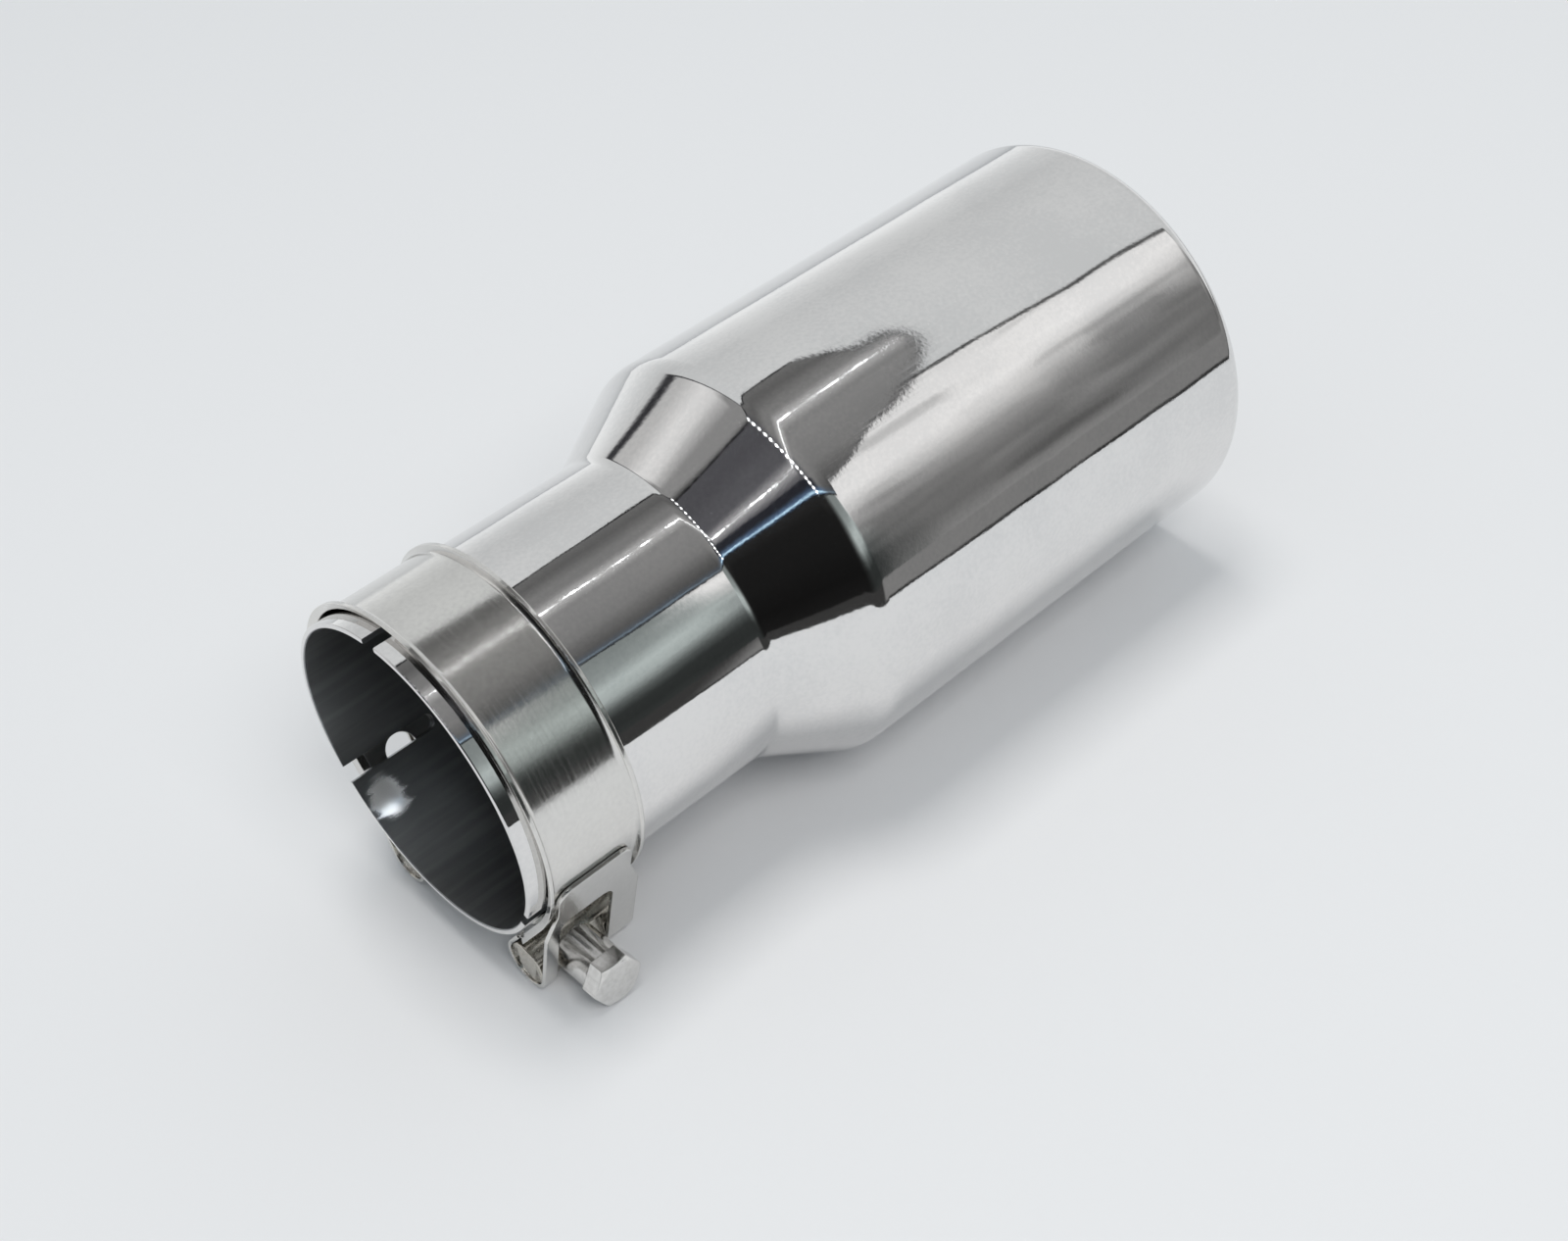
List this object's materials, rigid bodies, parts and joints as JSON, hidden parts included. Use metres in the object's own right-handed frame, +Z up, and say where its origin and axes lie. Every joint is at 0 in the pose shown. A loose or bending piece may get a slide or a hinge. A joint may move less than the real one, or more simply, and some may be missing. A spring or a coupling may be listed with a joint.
{
  "type": "exhaust tip",
  "caption": "Clamp-on exhaust tip: polished round barrel with a rolled rim, cone and slotted inlet tube, closed onto a tailpipe by a bolted band clamp with turned edges.",
  "frame": {"origin": "centre of the inlet mouth, on the tube's axis", "axes": "+X along the axis from the inlet mouth to the outlet, +Z up with the clamp's bolt at the bottom, and +Y to the nut side"},
  "size_m": [0.1858, 0.089, 0.089],
  "materials": {
    "polished_steel": "mirror polished stainless steel with faint lengthwise and round polishing marks",
    "band_steel": "bright rolled stainless strip, slightly softer than the shell",
    "plated_steel": "turned steel with a thin yellowish plating",
    "turned_steel": "plain turned steel, dull satin with soft edges"
  },
  "bodies": {
    "root": {"tip_shell": "polished_steel", "clamp_band": "band_steel", "bridge_plate": "band_steel", "trunnion_pin": "plated_steel", "trunnion_nut": "plated_steel", "spacer_sleeve": "turned_steel", "clamp_bolt": "turned_steel"}
  },
  "joints": []
}
